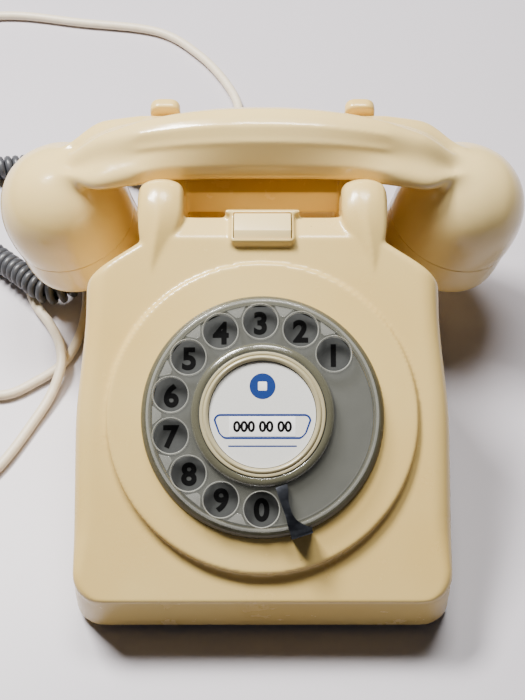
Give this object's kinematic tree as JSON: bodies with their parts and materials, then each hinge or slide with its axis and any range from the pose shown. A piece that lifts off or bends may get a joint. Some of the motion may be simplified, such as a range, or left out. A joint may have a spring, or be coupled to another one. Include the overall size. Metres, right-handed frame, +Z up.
{
  "type": "rotary desk telephone",
  "caption": "Desk telephone with a clear finger wheel on a sloping face, a recall key, a cradle with a lift-off handset, a curly handset cord and a line cord.",
  "frame": {"origin": "bottom centre of the telephone's bounding box without its free cords, on the table under the feet", "axes": "+Z up, +X to the right along the handset, front of the telephone towards -Y"},
  "size_m": [0.3824, 0.4423, 0.13],
  "materials": {
    "ivory_case": "glossy cream ABS, slightly yellowed",
    "ivory_handset": "glossy cream ABS",
    "ivory_soft": "cream vinyl",
    "key_ivory": "glossy cream ABS",
    "grey_vinyl": "dark grey vinyl",
    "rubber_black": "matt rubber",
    "steel": "bright zinc plated steel",
    "brass": "plain brass",
    "clear_acrylic": "clear acrylic, faintly olive",
    "plate_grey": "matt mid grey with black digits",
    "rim_olive": "olive grey plastic",
    "hub_ivory": "cream ring",
    "paper": "printed paper",
    "blue_steel": "dark blue grey painted steel",
    "phenolic": "brown phenolic",
    "black_plastic": "matt black plastic",
    "coil_tape": "varnished winding tape",
    "board": "brown paper laminate",
    "aluminium": "plain can",
    "base_grey": "grey painted steel sheet"
  },
  "bodies": {
    "telephone": {"case_shell": "ivory_case", "base_plate": "base_grey", "foot_front_left": "rubber_black", "foot_front_right": "rubber_black", "foot_rear_left": "rubber_black", "foot_rear_right": "rubber_black", "case_screw_left": "steel", "case_screw_right": "steel", "number_plate": "plate_grey", "dial_rim": "rim_olive", "finger_stop": "blue_steel", "dial_plate": "steel", "governor_cup": "steel", "pulse_contacts": "phenolic", "recall_switch": "black_plastic", "hook_frame": "steel", "hook_contacts": "phenolic", "ringer_frame": "steel", "ringer_coil_left": "coil_tape", "ringer_coil_right": "coil_tape", "gong_left": "brass", "gong_right": "brass", "gong_screw_left": "steel", "gong_screw_right": "steel", "circuit_board": "board", "induction_coil": "phenolic", "capacitor": "aluminium", "terminal_block": "black_plastic", "line_gland": "ivory_soft", "set_gland": "grey_vinyl", "line_cord": "ivory_soft", "handset_cord": "grey_vinyl", "spare_coil": "ivory_soft", "line_plug": "ivory_soft"},
    "handset": {"handset_body": "ivory_handset", "mouth_cap": "ivory_handset", "ear_cap": "ivory_handset", "transmitter": "black_plastic", "receiver": "aluminium", "handset_boot": "grey_vinyl"},
    "dial_wheel": {"finger_wheel": "clear_acrylic", "hub_ring": "hub_ivory", "label_card": "paper", "hub_boss": "clear_acrylic", "dial_spindle": "steel", "main_gear": "brass", "spring_drum": "steel"},
    "impulse": {"impulse_wheel": "brass"},
    "governor": {"governor_rotor": "brass"},
    "recall": {"recall_key": "key_ivory"},
    "left_plunger": {"plunger_left": "ivory_soft"},
    "right_plunger": {"plunger_right": "ivory_soft"},
    "hook": {"hook_lever": "steel"},
    "armature": {"hammer": "steel"}
  },
  "joints": [
    {"name": "handset_lift", "type": "slide", "parent": "telephone", "child": "handset", "axis": [0, 0, 1], "range_m": [0, 0.12]},
    {"name": "left_plunger_rise", "type": "slide", "parent": "telephone", "child": "left_plunger", "axis": [0, 0, 1], "range_m": [0, 0.005]},
    {"name": "right_plunger_rise", "type": "slide", "parent": "telephone", "child": "right_plunger", "axis": [0, 0, 1], "range_m": [0, 0.005]},
    {"name": "hook_tilt", "type": "hinge", "parent": "telephone", "child": "hook", "pos_m": [0.00035, 0.05195, 0.052], "axis": [1, 0, 0], "range_deg": [0, 14]},
    {"name": "dial_turn", "type": "hinge", "parent": "telephone", "child": "dial_wheel", "pos_m": [0.00035, -0.05065, 0.073], "axis": [0, 0.4431, -0.8965], "range_deg": [0, 340], "stiffness_Nm_per_rad": 0.01, "springref_deg": -34.38},
    {"name": "impulse_spin", "type": "hinge", "parent": "telephone", "child": "impulse", "pos_m": [0.01915, -0.06983, 0.06352], "axis": [0, 0.4431, -0.8965], "range_deg": [-740, 0]},
    {"name": "governor_spin", "type": "hinge", "parent": "telephone", "child": "governor", "pos_m": [-0.02365, -0.0623, 0.06724], "axis": [0, 0.4431, -0.8965], "range_deg": [-2760, 0]},
    {"name": "recall_press", "type": "slide", "parent": "telephone", "child": "recall", "axis": [0, 0, -1], "range_m": [0, 0.003], "stiffness_N_per_m": 300, "springref_m": -0.002},
    {"name": "hammer_swing", "type": "hinge", "parent": "telephone", "child": "armature", "pos_m": [0.00035, 0.04815, 0.02], "axis": [0, 0, 1], "range_deg": [-3.5, 3.5], "stiffness_Nm_per_rad": 0.02}
  ],
  "couplings": [
    {"joint": "left_plunger_rise", "follows": "handset_lift", "ratio": 0.041666},
    {"joint": "right_plunger_rise", "follows": "handset_lift", "ratio": 0.041666},
    {"joint": "hook_tilt", "follows": "handset_lift", "rad_per_m": 2.036},
    {"joint": "impulse_spin", "follows": "dial_turn", "ratio": -2.1667},
    {"joint": "governor_spin", "follows": "dial_turn", "ratio": -8}
  ]
}
